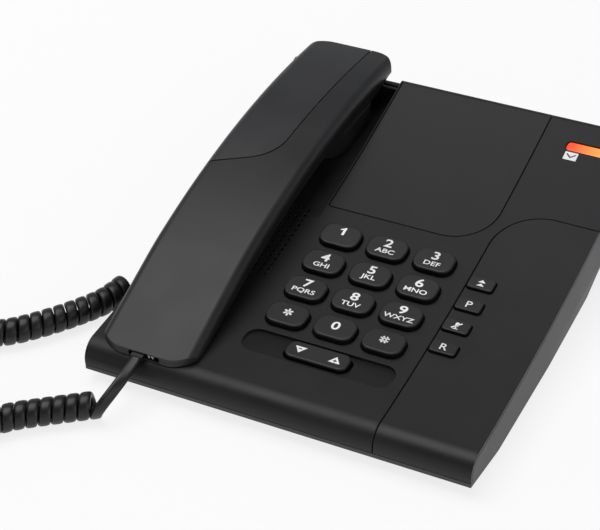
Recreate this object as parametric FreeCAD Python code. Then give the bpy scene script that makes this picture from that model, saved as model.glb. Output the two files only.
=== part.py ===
import FreeCAD, Part
import math
import os

V = FreeCAD.Vector
os.makedirs("parts", exist_ok=True)

# Sizes are millimetres. Y runs from the front edge to the back, Z from the table up.

# Base body
base_width = 172.0
base_depth = 199.0
front_height = 17.4
back_height = 44.4
top_dip = 6.6
nose_radius = 8.0
back_edge_radius = 3.0
lip_bottom = 5.6
lip_height = 2.0
chin_length = 28.0
flat_end = 131.0
tail_knee_y = 158.0
tail_knee_z = 14.0
tail_end_z = 17.0
side_wall = 3.0
floor_wall = 2.0
end_wall = 2.4
tuck_start_y = 84.0
tuck_start_z = 7.6
tuck_end_z = 13.6
tuck_depth = 3.2
tuck_least = 0.02

# Shell skins, seams and fits
cover_skin = 2.4
rim_skin = 1.5
panel_skin = 0.9
seam = 0.5
case_seam = 0.35
skirt_height = 9.0
fit = 0.3
key_gap = 0.4
touch = 0.05
above_skin = 2.0
deep = 10.0

# Top panels
panel_left = -30.3
panel_right = 42.6
panel_front = 116.3
panel_corner = 20.0
panel_small_corner = 1.0
right_seam_x = 44.7
right_panel_back = 139.8
right_panel_corner = 22.0

# Handset cradle in the cover
cradle_left = -81.8
cradle_right = -31.2
cradle_start = 108.0
cradle_end = 193.5
cradle_slope = 0.07
cradle_wall = 1.5
cradle_rim_drop = 4.2

# Dial keys
key_width = 18.0
key_length = 12.6
key_corner = 5.0
key_proud = 2.6
key_edge = 0.8
key_travel = 1.5
key_pitch_x = 21.8
key_pitch_y = 17.0
keypad_x = 5.8
keypad_y = 74.0
flange_reach = 0.9
flange_thick = 1.0

# Function keys on the right panel
small_width = 11.4
small_length = 6.8
small_corner = 1.4
small_proud = 1.4
small_pitch = 13.1
small_top_y = 94.6
small_x = 51.0
small_travel = 1.0
small_edge = 0.5

# Volume rocker and its recess
recess_width = 67.0
recess_length = 13.0
recess_corner = 5.5
recess_depth = 1.8
recess_front_depth = 0.3
recess_y = 32.0
rocker_width = 28.0
rocker_length = 9.4
rocker_corner = 3.6
rocker_proud = 1.3
rocker_angle = 4.0
rocker_gap = 0.8
rocker_axis_depth = 6.0
rocker_skirt = 4.5
pivot_radius = 1.2
pivot_play = 0.15
lug_thick = 1.8
lug_wall = 1.2

# Key mat, board and their screws
mat_thick = 1.2
mat_margin = 4.0
dome_height = 1.4
dome_radius = 3.6
dome_top_radius = 2.2
board_thick = 1.6
board_margin = 7.0
tact_size = 6.0
tact_x = 10.5
post_radius = 2.6
screw_radius = 1.3
screw_head_radius = 2.6
screw_head_height = 1.6
screw_hole = 0.15
board_screw_grip = 4.0
case_post_radius = 3.8
case_screw_x = 68.0
case_screw_front = 20.0
case_screw_back = 124.0
case_split_z = 10.0
case_head_z = 4.0
case_screw_grip = 5.0

# Feet
foot_radius = 6.0
foot_height = 1.0
foot_sink = 0.6
foot_x = 72.0
foot_front = 40.0
foot_back = 120.0

# Ringer grille and speaker
grille_x = -37.4
grille_y = 69.0
grille_columns = 10
grille_rows = 14
grille_pitch = 3.2
hole_radius = 0.75
speaker_radius = 15.0
speaker_rim = 1.6
basket_height = 3.0
magnet_radius = 8.0
magnet_height = 2.4
collar_wall = 1.6
collar_height = 3.2
speaker_y = 90.0

# Message lamp
lamp_x = 67.6
lamp_y = 182.1
lamp_width = 25.6
lamp_length = 5.6
lamp_corner = 2.0
lamp_sink = 0.35
lamp_edge = 0.4
lamp_foot = 2.2
led_pitch = 7.5
led_size = 2.8

# Hook switch
hook_y = 166.0
hook_width = 9.0
hook_length = 12.0
hook_corner = 3.0
hook_rise = 4.0
hook_proud = 0.2
switch_half_x = 6.0
switch_half_y = 8.0
switch_button = 1.0

# Handset
handset_x = -59.5
handset_width = 47.0
handset_front = 3.6
handset_back = 206.0
tip_height = 20.3
ramp_angle = 19.3
ramp_length = 44.9
neck_radius = 150.0
grip_angle = 14.8
back_radius = 410.0
tail_angle = -7.5
grip_thick = 12.4
side_draft = 17.0
sweep_depth = 16.0
sweep_overrun = 7.0
shoulder_round = 4.2
least_round = 0.5
handset_corner = 13.0
handset_skin = 2.0
plate_skin = 1.6
rest_gap = 0.5
rest_end = 20.0
grip_start = 65.0
heel_start = 187.0
heel_length = 10.0
heel_lift = 5.6
heel_tail = 0.6
inlay_skin = 0.9
inlay_left_y = 98.2
inlay_bend_x = -64.9
inlay_bend_y = 107.6
inlay_corner_x = -56.6
inlay_corner_y = 114.4
inlay_run_x = -53.2
inlay_run_y = 125.0
inlay_back_x = -50.9
ear_width = 41.0
ear_front = 143.0
ear_back = 190.0
ear_corner = 14.0
ear_gap = 0.5
ear_wall = 1.8
receiver_radius = 15.0
receiver_height = 6.0
receiver_step = 2.0
receiver_y = 166.0
ear_hole_ring = 5.0
ring_holes = 6
mic_radius = 4.8
mic_height = 3.6
mic_y = 52.0
mic_hole_ring = 2.6
weight_width = 24.0
weight_length = 46.0
weight_thick = 4.5
weight_y = 100.0
handset_screw_front = 66.0
handset_screw_back = 134.0
handset_post_radius = 3.2
handset_pad_height = 2.0
handset_pad_wall = 1.2
handset_seat_depth = 1.8
handset_screw_length = 7.0
core_start = 24.0

# Modular plugs and jacks
plug_width = 7.6
plug_height = 4.0
plug_length = 12.0
plug_play = 0.3
plug_out = 0.6
plug_x = -61.5
plug_start = 24.0
plug_slope = 13.0
boot_width = 5.4
boot_height = 2.0
boot_out = 1.6
slot_x = -59.0
slot_z = 18.5
slot_width = 14.2
slot_depth = 5.0
jack_wall = 1.2
jack_set = 2.0
jack_end = 3.0
jack_height = 4.2
base_jack_y = 78.0
base_jack_z = 8.4
base_plug_height = 6.0
line_jack_x = 40.0
line_jack_z = 26.0
line_jack_width = 10.2
line_jack_height = 7.4
line_jack_bore = 11.0
line_jack_wall = 1.8

# Handset cord
lead_radius = 1.6
lead_square = 5.0
coil_radius = 4.3
wire_radius = 1.8
floor_gap = 0.1
whole_turns = 61
coil_start_angle = -25.0
coil_end_angle = 235.0
spans_per_turn = 2
gap_points = 9
corner_share = 0.45

y_origin = handset_back / 2.0
half_width = base_width / 2.0
lip_top = lip_bottom + lip_height
cover_front_z = lip_top + case_seam
cover_back_z = back_height - skirt_height
case_back_z = cover_back_z - case_seam
sky = back_height + 60.0


# Small geometry helpers

def save(name, shape):
    """Write one node in the part's own frame."""
    moved = shape.copy()
    moved.translate(V(0, -y_origin, 0))
    moved.exportStep("parts/" + name + ".step")


def toward(start, end, distance):
    """Point at a distance from start on the line to end."""
    dy = end[0] - start[0]
    dz = end[1] - start[1]
    length = math.hypot(dy, dz)
    return (start[0] + dy * distance / length, start[1] + dz * distance / length)


def arc(centre, radius, start, end):
    """Three points of the shorter arc from start to end."""
    middle = ((start[0] + end[0]) / 2.0, (start[1] + end[1]) / 2.0)
    return [start, toward(centre, middle, radius), end]


def edge(points):
    if len(points) == 3:
        return Part.Arc(*points).toShape()
    return Part.LineSegment(*points).toShape()


def side_prism(segments, x_start, x_end):
    """Extrude a closed outline of (y, z) lines and arcs along X."""
    edges = [edge([V(x_start, y, z) for y, z in points]) for points in segments]
    face = Part.Face(Part.Wire(edges))
    return face.extrude(V(x_end - x_start, 0, 0))


def plan_prism(segments, z_start=-sky, z_end=sky):
    """Extrude a closed outline of (x, y) lines and arcs along Z."""
    edges = [edge([V(x, y, z_start) for x, y in points]) for points in segments]
    face = Part.Face(Part.Wire(edges))
    return face.extrude(V(0, 0, z_end - z_start))


def polygon(points):
    """Closed outline of straight lines through the points."""
    return [[points[i], points[(i + 1) % len(points)]] for i in range(len(points))]


def rounded(x0, y0, x1, y1, radii):
    """Rectangle with a radius for each corner: front left, front right, back right, back left."""
    corners = [(x0, y0, 1, 1), (x1, y0, -1, 1), (x1, y1, -1, -1), (x0, y1, 1, -1)]
    pieces = []
    for index, (x, y, sx, sy) in enumerate(corners):
        radius = radii[index]
        along_x = (x + sx * radius, y)
        along_y = (x, y + sy * radius)
        centre = (x + sx * radius, y + sy * radius)
        first, second = (along_y, along_x) if index % 2 == 0 else (along_x, along_y)
        pieces.append(arc(centre, radius, first, second))
    segments = []
    for index, piece in enumerate(pieces):
        segments.append(piece)
        segments.append([piece[-1], pieces[(index + 1) % 4][0]])
    return segments


def pad(width, length, corner, z_start, z_end):
    """Rounded rectangular block centred on the local origin."""
    outline = rounded(-width / 2, -length / 2, width / 2, length / 2, [corner] * 4)
    return plan_prism(outline, z_start, z_end)


def round_top(shape, radius):
    """Round the edges of a block's highest face."""
    top = shape.BoundBox.ZMax
    edges = [e for e in shape.Edges if all(abs(v.Z - top) < touch for v in e.Vertexes)]
    return shape.makeFillet(radius, edges)


def cylinder(radius, height, base, direction=V(0, 0, 1)):
    return Part.makeCylinder(radius, height, base, direction)


def box(x0, y0, z0, x1, y1, z1):
    return Part.makeBox(x1 - x0, y1 - y0, z1 - z0, V(x0, y0, z0))


def fused(shapes):
    return shapes[0].multiFuse(shapes[1:]).removeSplitter()


# Base outline: a concave top arc, a rounded nose and a small back edge

def circle_through(a, b, c):
    """Centre and radius of the circle through three (y, z) points."""
    d = 2 * (a[0] * (b[1] - c[1]) + b[0] * (c[1] - a[1]) + c[0] * (a[1] - b[1]))
    sa = a[0] ** 2 + a[1] ** 2
    sb = b[0] ** 2 + b[1] ** 2
    sc = c[0] ** 2 + c[1] ** 2
    y = (sa * (b[1] - c[1]) + sb * (c[1] - a[1]) + sc * (a[1] - b[1])) / d
    z = (sa * (c[0] - b[0]) + sb * (a[0] - c[0]) + sc * (b[0] - a[0])) / d
    return (y, z), math.hypot(a[0] - y, a[1] - z)


top_centre, top_radius = circle_through(
    (0.0, front_height),
    (base_depth / 2, (front_height + back_height) / 2 - top_dip),
    (base_depth, back_height),
)


def tangent_centre(y, radius):
    """Centre of an edge circle that meets the top arc smoothly."""
    rise = math.sqrt((top_radius + radius) ** 2 - (y - top_centre[0]) ** 2)
    return (y, top_centre[1] - rise)


nose_centre = tangent_centre(nose_radius, nose_radius)
back_centre = tangent_centre(base_depth - back_edge_radius, back_edge_radius)


def top_z(y, offset=0.0):
    reach = top_radius + offset
    return top_centre[1] - math.sqrt(reach ** 2 - (y - top_centre[0]) ** 2)


def top_angle(y):
    return math.asin((y - top_centre[0]) / top_radius)


def chain(offset, z_front, z_back):
    """Front, nose, top and back of the base, moved inwards by an offset."""
    nose_low = (offset, nose_centre[1])
    nose_high = toward(top_centre, nose_centre, top_radius + offset)
    back_high = toward(top_centre, back_centre, top_radius + offset)
    back_low = (base_depth - offset, back_centre[1])
    return [
        [(offset, z_front), nose_low],
        arc(nose_centre, nose_radius - offset, nose_low, nose_high),
        arc(top_centre, top_radius + offset, nose_high, back_high),
        arc(back_centre, back_edge_radius - offset, back_high, back_low),
        [back_low, (base_depth - offset, z_back)],
    ]


def backwards(segments):
    return [points[::-1] for points in segments[::-1]]


def closed(segments):
    """Close a chain of segments with a straight line."""
    return segments + [[segments[-1][-1], segments[0][0]]]


def skin(outer, inner, x_start, x_end):
    """Curved plate between two offsets of the base outline."""
    outside = chain(outer, cover_front_z, cover_back_z)
    inside = backwards(chain(inner, cover_front_z, cover_back_z))
    bridge = [[outside[-1][-1], inside[0][0]]]
    return side_prism(closed(outside + bridge + inside), x_start, x_end)


def on_surface(shape, x, y):
    """Place a block, drawn with Z along the surface normal, on the top face."""
    turn = FreeCAD.Rotation(V(1, 0, 0), math.degrees(top_angle(y)))
    placed = shape.copy()
    placed.Placement = FreeCAD.Placement(V(x, y, top_z(y)), turn).multiply(shape.Placement)
    return placed


def make_envelope():
    """Outside of the base top, over the room inside the case."""
    outside = chain(0.0, cover_front_z, cover_back_z)
    room_front = end_wall + fit
    room_back = base_depth - end_wall - fit
    under = [(base_depth, cover_back_z), (room_back, cover_back_z), (room_back, lip_bottom),
             (room_front, lip_bottom), (room_front, cover_front_z), (0.0, cover_front_z)]
    inside = [[under[i], under[i + 1]] for i in range(len(under) - 1)]
    return side_prism(outside + inside, -half_width, half_width)


envelope = make_envelope()


def index_region(grow):
    return plan_prism(rounded(
        panel_left - grow, panel_front - grow, panel_right + grow, base_depth + above_skin,
        [panel_small_corner, panel_corner + grow, panel_small_corner, panel_small_corner],
    ))


def right_region(grow):
    return plan_prism(rounded(
        right_seam_x - grow, -above_skin, half_width + above_skin, right_panel_back + grow,
        [panel_small_corner, panel_small_corner, panel_small_corner, right_panel_corner + grow],
    ))


def panel_layer(region):
    return skin(-1.0, panel_skin, -half_width - 1, half_width + 1).common(region)


# Places of the keys

key_names = ["key_1", "key_2", "key_3", "key_4", "key_5", "key_6",
             "key_7", "key_8", "key_9", "key_star", "key_0", "key_hash"]
small_names = ["redial_key", "pause_key", "mute_key", "recall_key"]


def key_place(index):
    column = index % 3 - 1
    row = 1.5 - index // 3
    return keypad_x + column * key_pitch_x, keypad_y + row * key_pitch_y


def small_place(index):
    return small_x, small_top_y - index * small_pitch


def make_key(width, length, corner, proud, edge_round):
    """Cap above the cover and a flange that holds it underneath."""
    flange_top = -cover_skin - fit
    cap = pad(width, length, corner, flange_top - flange_thick, proud)
    cap = round_top(cap, edge_round)
    reach = flange_reach + key_gap
    flange = pad(width + 2 * reach, length + 2 * reach, corner + reach,
                 flange_top - flange_thick, flange_top)
    return fused([cap, flange])


def key_hole(width, length, corner):
    return pad(width + 2 * key_gap, length + 2 * key_gap, corner + key_gap, -deep, deep)


# Cradle for the handset: a flatter floor that leaves the rising panel beside it

def cradle_floor(y):
    return top_z(cradle_start) + (y - cradle_start) * cradle_slope


def cradle_void():
    outline = polygon([
        (cradle_start, cradle_floor(cradle_start)), (cradle_end, cradle_floor(cradle_end)),
        (cradle_end, sky), (cradle_start, sky),
    ])
    return side_prism(outline, cradle_left, cradle_right)


def cradle_shell():
    """Block around the cradle, whose left side fits inside the case's wall."""
    front = cradle_start - cradle_wall
    back = cradle_end + cradle_wall
    left = side_wall + fit - half_width
    outline = polygon([
        (front, cradle_floor(front) - cover_skin), (back, cradle_floor(back) - cover_skin),
        (back, sky), (front, sky),
    ])
    return side_prism(outline, left, cradle_right + cradle_wall)


def cradle_notch():
    """Lower the back rim where the handset's heel passes over it."""
    floor = back_height - cradle_rim_drop
    return box(cradle_left, cradle_end - cradle_wall, floor, cradle_right, base_depth + above_skin, sky)


def grille_holes():
    holes = []
    for column in range(grille_columns):
        for row in range(grille_rows):
            x = grille_x - column * grille_pitch
            y = grille_y + (row + 0.5 * (column % 2)) * grille_pitch
            hole = cylinder(hole_radius, 3 * cover_skin, V(0, 0, -2 * cover_skin))
            holes.append(on_surface(hole, x, y))
    return holes


# Keypad stack, measured along the normal at the middle of the keypad

flange_low = -cover_skin - fit - flange_thick
mat_top = flange_low - key_travel - fit - dome_height
board_top = mat_top - mat_thick
board_low = board_top - board_thick
mat_left = keypad_x - key_pitch_x - key_width / 2 - mat_margin
mat_right = small_x + small_width / 2 + mat_margin
mat_front = keypad_y - 1.5 * key_pitch_y - key_length / 2 - mat_margin
mat_back = keypad_y + 1.5 * key_pitch_y + key_length / 2 + mat_margin
board_front = recess_y - recess_length / 2


def keypad_frame(shape):
    return on_surface(shape, keypad_x, keypad_y)


def keypad_slab(x0, y0, z0, x1, y1, z1):
    return box(x0 - keypad_x, y0 - keypad_y, z0, x1 - keypad_x, y1 - keypad_y, z1)


def keypad_point(x, y):
    """A point of the top face, seen in the keypad's own frame."""
    turn = top_angle(keypad_y)
    dy = y - keypad_y
    dz = top_z(y) - top_z(keypad_y)
    along = dy * math.cos(turn) + dz * math.sin(turn)
    above = dz * math.cos(turn) - dy * math.sin(turn)
    return V(x - keypad_x, along, above)


def board_posts():
    """Corners of the board outside the mat, where screws hold it."""
    reach = board_margin / 2
    return [V(x - keypad_x, y - keypad_y, 0)
            for x in (mat_left - reach, mat_right + reach)
            for y in (mat_front - reach, mat_back + reach)]


def case_screw_places():
    return [(x, y) for x in (-case_screw_x, case_screw_x) for y in (case_screw_front, case_screw_back)]


def drive_screw(length):
    """Screw that stands on the local origin: head below it, shank above."""
    head = cylinder(screw_head_radius, screw_head_height, V(0, 0, -screw_head_height))
    return fused([head, cylinder(screw_radius, length, V(0, 0, 0))])


def screw_bore(length):
    return cylinder(screw_radius + screw_hole, length, V(0, 0, 0))


def at(shape, x, y, z):
    moved = shape.copy()
    moved.translate(V(x, y, z))
    return moved


# Volume rocker in a recess whose floor is flatter than the top face

def recess_outline(grow):
    half_x = recess_width / 2 + grow
    half_y = recess_length / 2 + grow
    return plan_prism(rounded(
        keypad_x - half_x, recess_y - half_y, keypad_x + half_x, recess_y + half_y,
        [recess_corner + grow] * 4,
    ))


def recess_floor(y):
    front = recess_y - recess_length / 2
    back = recess_y + recess_length / 2
    low = top_z(front) - recess_front_depth
    high = top_z(back) - recess_depth
    return low + (high - low) * (y - front) / (back - front)


def recess_layer(drop, ceiling):
    """Band between the recess floor, dropped by a depth, and a ceiling over it."""
    front = recess_y - recess_length / 2 - cover_skin
    back = recess_y + recess_length / 2 + cover_skin
    return side_prism(polygon([
        (front, recess_floor(front) - drop), (back, recess_floor(back) - drop),
        (back, ceiling(back)), (front, ceiling(front)),
    ]), -half_width, half_width)


def rocker_frame(shape):
    return on_surface(shape, keypad_x, recess_y)


def rocker_lugs():
    """Two bearing lugs under the cover that carry the rocker's pivots."""
    lugs = []
    near = rocker_length / 2 + rocker_gap
    reach = pivot_radius + lug_wall
    for low in (near, -near - lug_thick):
        lugs.append(box(-reach, low, -rocker_axis_depth - reach, reach, low + lug_thick, -cover_skin))
    bore = cylinder(pivot_radius + pivot_play, 4 * near, V(0, -2 * near, -rocker_axis_depth), V(0, 1, 0))
    return rocker_frame(Part.makeCompound(lugs).cut(bore))


def make_rocker():
    cap = round_top(pad(rocker_width, rocker_length, rocker_corner, -rocker_skirt, rocker_proud), key_edge)
    reach = pivot_radius + lug_wall
    half = rocker_length / 2
    hub = box(-reach, -half, -rocker_axis_depth - pivot_radius, reach, half, -rocker_skirt)
    pivot = half + rocker_gap + lug_thick
    pin = cylinder(pivot_radius, 2 * pivot, V(0, -pivot, -rocker_axis_depth), V(0, 1, 0))
    return rocker_frame(fused([cap, hub, pin]))


# Top cover of the base

speaker_x = grille_x - (grille_columns - 1) / 2 * grille_pitch


def speaker_collar():
    room = speaker_radius + fit
    outside = cylinder(room + collar_wall, collar_height, V(0, 0, -cover_skin / 2 - collar_height))
    inside = cylinder(room, collar_height, V(0, 0, -cover_skin - collar_height))
    return on_surface(outside.cut(inside), speaker_x, speaker_y)


def make_cover():
    inner_half = half_width - side_wall - fit
    thick = skin(-1.0, cover_skin, -inner_half, inner_half)
    rim = skin(-1.0, rim_skin, -half_width - 1, half_width + 1)
    plate = envelope.common(fused([thick, rim]))
    well = cradle_shell().common(envelope)
    recess_bed = recess_outline(rim_skin).common(
        recess_layer(cover_skin, lambda y: top_z(y) - cover_skin / 2))
    pieces = [plate, well, recess_bed, rocker_lugs(), speaker_collar()]
    for corner in board_posts():
        top = keypad_point(corner.x + keypad_x, corner.y + keypad_y).z - cover_skin / 2
        pieces.append(keypad_frame(cylinder(post_radius, top - board_top, corner + V(0, 0, board_top))))
    for x, y in case_screw_places():
        top = top_z(y) - cover_skin / 2
        pieces.append(cylinder(case_post_radius, top - case_split_z, V(x, y, case_split_z)))
    cover = fused(pieces)
    cuts = [cradle_void(), cradle_notch()]
    cuts.append(panel_layer(index_region(seam / 2)))
    cuts.append(panel_layer(right_region(seam / 2)))
    cuts.append(recess_outline(0).common(recess_layer(0, lambda y: sky)))
    cuts.append(rocker_frame(pad(rocker_width + 2 * rocker_gap, rocker_length + 2 * rocker_gap,
                                 rocker_corner + rocker_gap, -deep, deep)))
    for index in range(len(key_names)):
        cuts.append(on_surface(key_hole(key_width, key_length, key_corner), *key_place(index)))
    for index in range(len(small_names)):
        cuts.append(on_surface(key_hole(small_width, small_length, small_corner), *small_place(index)))
    cuts.append(on_surface(pad(lamp_width, lamp_length, lamp_corner, -deep, deep), lamp_x, lamp_y))
    hook_hole = pad(hook_width + 2 * key_gap, hook_length + 2 * key_gap, hook_corner + key_gap, -deep, deep)
    cuts.append(at(hook_hole, handset_x, hook_y, cradle_floor(hook_y)))
    for corner in board_posts():
        cuts.append(keypad_frame(at(screw_bore(board_screw_grip + fit), corner.x, corner.y, board_top)))
    for x, y in case_screw_places():
        cuts.append(at(screw_bore(case_screw_grip + fit), x, y, case_split_z))
    cuts += grille_holes()
    return cover.cut(cuts)


def make_index_panel():
    return envelope.common(panel_layer(index_region(-seam / 2)))


def make_right_panel():
    panel = envelope.common(panel_layer(right_region(-seam / 2)))
    holes = [on_surface(key_hole(small_width, small_length, small_corner), *small_place(i))
             for i in range(len(small_names))]
    return panel.cut(holes)


# Bottom case: a tub whose side walls follow the cover's edge

case_floor = foot_height + floor_wall


def underside(lift):
    """Chin ramp, flat and tail of the underside, raised by a lift."""
    return [(0.0, lip_bottom + lift), (chin_length, foot_height + lift), (flat_end, foot_height + lift),
            (tail_knee_y, tail_knee_z + lift), (base_depth, tail_end_z + lift)]


def tail_floor(y):
    """Height of the case's inner floor under the raised tail."""
    slope = (tail_end_z - tail_knee_z) / (base_depth - tail_knee_y)
    return tail_knee_z + floor_wall + (y - tail_knee_y) * slope


def chained(points):
    return [[points[i], points[i + 1]] for i in range(len(points) - 1)]


def side_tuck(side):
    """Lower rear of a side wall, drawn in more and more towards the back."""
    sections = []
    outer = side * (half_width + 1)
    for y, ridge, depth in ((tuck_start_y, tuck_start_z, tuck_least),
                            (base_depth + above_skin, tuck_end_z, tuck_depth)):
        points = [V(outer, y, ridge), V(side * half_width, y, ridge),
                  V(side * (half_width - depth), y, 0), V(outer, y, 0)]
        sections.append(Part.makePolygon(points + [points[0]]))
    return Part.makeLoft(sections, True, True)


def foot_places():
    return [(x, y) for x in (-foot_x, foot_x) for y in (foot_front, foot_back)]


def make_bottom_case():
    walls = chain(rim_skin + case_seam, lip_top, case_back_z)
    low = underside(0.0)
    rest = [walls[-1][-1], (base_depth, case_back_z)] + low[::-1] + [(0.0, lip_top), walls[0][0]]
    block = side_prism(walls + chained(rest), -half_width, half_width)
    floor = underside(floor_wall)
    chin_slope = (floor[1][1] - floor[0][1]) / chin_length
    inner_back = base_depth - end_wall
    room = [(end_wall, floor[0][1] + chin_slope * end_wall)] + floor[1:4]
    beyond = base_depth + above_skin
    room += [(inner_back, tail_floor(inner_back)), (inner_back, case_back_z), (beyond, case_back_z)]
    room += [(beyond, sky), (-above_skin, sky), (-above_skin, lip_top), (end_wall, lip_top)]
    inner_half = half_width - side_wall
    tub = block.cut(side_prism(polygon(room), -inner_half, inner_half))
    posts = [cylinder(case_post_radius, case_split_z, V(x, y, 0)).common(block)
             for x, y in case_screw_places()]
    tub = fused([tub] + posts)
    cuts = [side_tuck(1), side_tuck(-1), base_jack_hole(half_width), line_jack_hole(beyond)]
    for x, y in case_screw_places():
        cuts.append(cylinder(screw_head_radius + fit, case_head_z, V(x, y, 0)))
        cuts.append(at(screw_bore(case_split_z), x, y, case_head_z))
    for x, y in foot_places():
        cuts.append(cylinder(foot_radius + touch, foot_sink + foot_height, V(x, y, 0)))
    return tub.cut(cuts)


# Sockets for the two cords

plug_tip = -half_width - plug_out + plug_length
jack_half_y = plug_width / 2 + plug_play
jack_half_z = base_plug_height / 2 + plug_play


def base_jack_hole(reach):
    """Room of the handset cord's plug, from inside the jack out through the side wall."""
    return box(-half_width - reach, base_jack_y - jack_half_y, base_jack_z - jack_half_z,
               plug_tip + plug_play, base_jack_y + jack_half_y, base_jack_z + jack_half_z)


def make_base_jack():
    block = box(-half_width + side_wall, base_jack_y - jack_half_y - jack_wall, case_floor,
                plug_tip + plug_play + jack_wall, base_jack_y + jack_half_y + jack_wall,
                base_jack_z + jack_half_z + jack_wall)
    return block.cut(base_jack_hole(0))


def make_base_plug():
    half_y = plug_width / 2
    half_z = base_plug_height / 2
    return box(-half_width - plug_out, base_jack_y - half_y, base_jack_z - half_z,
               plug_tip, base_jack_y + half_y, base_jack_z + half_z)


def line_jack_hole(y_end):
    x = line_jack_width / 2
    z = line_jack_height / 2
    return box(line_jack_x - x, base_depth - end_wall - line_jack_bore, line_jack_z - z,
               line_jack_x + x, y_end, line_jack_z + z)


def make_line_jack():
    x = line_jack_width / 2 + line_jack_wall
    z = line_jack_height / 2 + line_jack_wall
    back = base_depth - end_wall
    block = box(line_jack_x - x, back - line_jack_bore - line_jack_wall, line_jack_z - z,
                line_jack_x + x, back, line_jack_z + z)
    return block.cut(line_jack_hole(back))


# Inner pieces of the base

def make_key_mat():
    pieces = [keypad_slab(mat_left, mat_front, board_top, mat_right, mat_back, mat_top)]
    places = [(key_place(i), key_travel) for i in range(len(key_names))]
    places += [(small_place(i), small_travel) for i in range(len(small_names))]
    for (x, y), travel in places:
        foot = keypad_point(x, y)
        height = foot.z + flange_low - travel - fit - mat_top
        pieces.append(Part.makeCone(dome_radius, dome_top_radius, height, V(foot.x, foot.y, mat_top)))
    return keypad_frame(fused(pieces))


def make_board():
    edge_room = board_margin
    board = keypad_slab(mat_left - edge_room, board_front, board_low, mat_right + edge_room,
                        mat_back + edge_room, board_top)
    swing = rocker_width / 2 * math.sin(math.radians(rocker_angle))
    middle = keypad_point(keypad_x, recess_y)
    top = middle.z - rocker_skirt - swing - fit
    half = tact_size / 2
    switches = [box(x - half, middle.y - half, board_top, x + half, middle.y + half, top)
                for x in (-tact_x, tact_x)]
    board = fused([board] + switches)
    holes = [at(screw_bore(board_thick + 2), corner.x, corner.y, board_low - 1) for corner in board_posts()]
    return keypad_frame(board.cut(holes))


def make_board_screws():
    screw = drive_screw(board_thick + board_screw_grip)
    screws = [at(screw, corner.x, corner.y, board_low) for corner in board_posts()]
    return Part.makeCompound([keypad_frame(placed) for placed in screws])


def make_case_screws():
    screw = drive_screw(case_split_z - case_head_z + case_screw_grip)
    return Part.makeCompound([at(screw, x, y, case_head_z) for x, y in case_screw_places()])


def make_feet():
    return Part.makeCompound([cylinder(foot_radius, foot_height + foot_sink, V(x, y, 0))
                              for x, y in foot_places()])


def make_speaker():
    top = -cover_skin - fit
    rim = cylinder(speaker_radius, speaker_rim, V(0, 0, top - speaker_rim))
    low = top - speaker_rim - basket_height
    basket = Part.makeCone(magnet_radius, speaker_radius - speaker_rim, basket_height, V(0, 0, low))
    magnet = cylinder(magnet_radius, magnet_height, V(0, 0, low - magnet_height))
    return on_surface(fused([rim, basket, magnet]), speaker_x, speaker_y)


def make_lens():
    """Light bar with a flange under the cover and two feet on its lamp board."""
    flange_top = -cover_skin - touch
    flange_base = flange_top - flange_thick
    bar = pad(lamp_width - 2 * fit, lamp_length - 2 * fit, lamp_corner - fit, flange_base, -lamp_sink)
    bar = round_top(bar, lamp_edge)
    wide = lamp_width + 2 * flange_reach
    flange = pad(wide, lamp_length + 2 * flange_reach, lamp_corner, flange_base, flange_top)
    half = lamp_length / 2
    leg = 2 * flange_reach
    feet = [box(x, -half, flange_base - lamp_foot, x + leg, half, flange_base)
            for x in (-wide / 2, wide / 2 - leg)]
    return on_surface(fused([bar, flange] + feet), lamp_x, lamp_y)


def make_led_board():
    top = -cover_skin - touch - flange_thick - lamp_foot
    wide = lamp_width + 2 * flange_reach
    long = lamp_length + 2 * flange_reach
    board = pad(wide, long, lamp_corner, top - board_thick, top)
    half = led_size / 2
    lamps = [box(x - half, -half, top, x + half, half, top + lamp_foot - fit)
             for x in (-led_pitch, 0, led_pitch)]
    return on_surface(fused([board] + lamps), lamp_x, lamp_y)


# Hook switch under the handset's ear end

plunger_base = cradle_floor(hook_y) - cover_skin - hook_rise - fit - flange_thick


def sloped_block(half_x, half_y, low, high):
    """Block about the hook, whose floor and ceiling are heights that vary with y."""
    front = hook_y - half_y
    back = hook_y + half_y
    outline = polygon([(front, low(front)), (back, low(back)), (back, high(back)), (front, high(front))])
    return side_prism(outline, handset_x - half_x, handset_x + half_x)


def make_plunger():
    stem = at(pad(hook_width, hook_length, hook_corner, 0, deep), handset_x, hook_y, plunger_base)
    stem = stem.common(sloped_block(hook_width, hook_length, lambda y: 0,
                                    lambda y: cradle_floor(y) + hook_proud))
    reach = flange_reach + key_gap
    flange = pad(hook_width + 2 * reach, hook_length + 2 * reach, hook_corner + reach, 0, flange_thick)
    flange = at(flange, handset_x, hook_y, plunger_base)
    flange = flange.common(sloped_block(hook_width, hook_length, lambda y: 0,
                                        lambda y: cradle_floor(y) - cover_skin - hook_rise - fit))
    return fused([stem, flange])


def make_hook_switch():
    top = plunger_base - fit
    body = sloped_block(switch_half_x, switch_half_y, tail_floor, lambda y: top - switch_button)
    button = sloped_block(switch_button, switch_button, lambda y: top - switch_button, lambda y: top)
    return fused([body, button])


# Handset outline: a straight ramp, a short neck bend and a long shallow back

def step(start, angle, distance):
    turn = math.radians(angle)
    return (start[0] + distance * math.cos(turn), start[1] + distance * math.sin(turn))


def bend(start, radius, angle_in, angle_out):
    """Centre and end of an arc that turns downwards from one slope to another."""
    centre = step(start, angle_in - 90, radius)
    return centre, step(centre, angle_out + 90, radius)


tip = (handset_front, tip_height)
ramp_end = step(tip, ramp_angle, ramp_length)
neck_centre, neck_end = bend(ramp_end, neck_radius, ramp_angle, grip_angle)
grip_centre, grip_end = bend(neck_end, back_radius, grip_angle, tail_angle)
sweep_start = step(tip, ramp_angle, -sweep_overrun)


def on_grip(y, depth):
    """Height of the curve that runs a depth below the handset's back."""
    radius = back_radius - depth
    return grip_centre[1] + math.sqrt(radius ** 2 - (y - grip_centre[0]) ** 2)


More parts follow.
